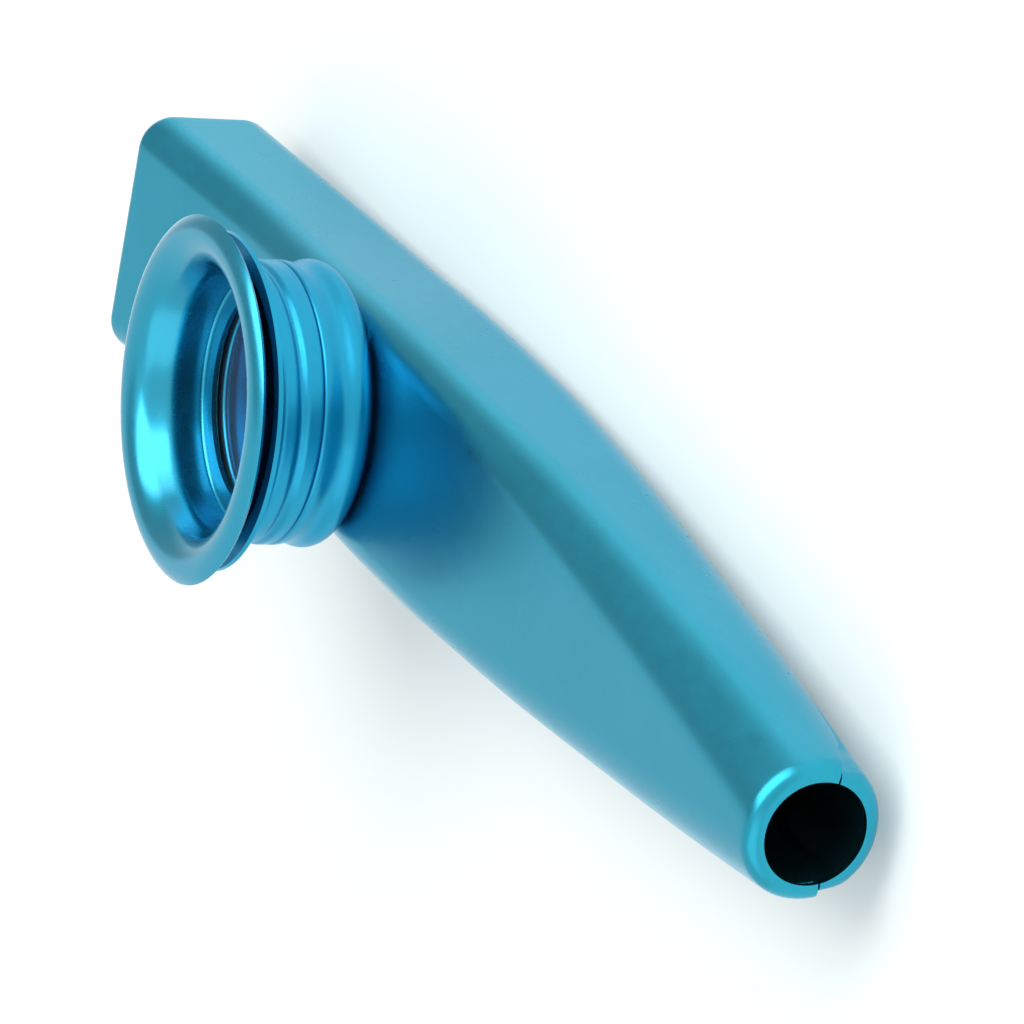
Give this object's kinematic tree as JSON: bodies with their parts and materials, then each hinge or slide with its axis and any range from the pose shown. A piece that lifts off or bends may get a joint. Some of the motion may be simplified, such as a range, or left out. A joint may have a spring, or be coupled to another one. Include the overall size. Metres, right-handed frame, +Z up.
{
  "type": "kazoo",
  "caption": "Tapered metal kazoo with a screwed-in bell turret over a clamped membrane, open at both ends of its pressed body.",
  "frame": {"origin": "under the middle of the body, on the surface that the kazoo rests on", "axes": "+X from the wide mouth end to the narrow end, +Z up through the turret, +Y to the left of someone who looks along +X"},
  "size_m": [0.12, 0.0282, 0.0229],
  "materials": {
    "body_blue": "satin blue anodised",
    "bell_blue": "glossy blue anodised",
    "ring_card": "matte pale card",
    "film": "matte waxed film"
  },
  "bodies": {
    "body": {"upper_shell": "body_blue", "lower_shell": "body_blue", "turret_collar": "body_blue"},
    "membrane": {"membrane_ring": "ring_card", "membrane_film": "film"},
    "bell": {"turret_bell": "bell_blue"}
  },
  "joints": [
    {"name": "membrane_lift", "type": "slide", "parent": "body", "child": "membrane", "axis": [0, 0, 1], "range_m": [0, 0.00278]},
    {"name": "bell_turn", "type": "hinge", "parent": "membrane", "child": "bell", "pos_m": [-0.02085, 0, 0.017], "axis": [0, 0, 1], "range_deg": [0, 540]}
  ],
  "couplings": [
    {"joint": "membrane_lift", "follows": "bell_turn", "m_per_rad": 0.00029444}
  ]
}
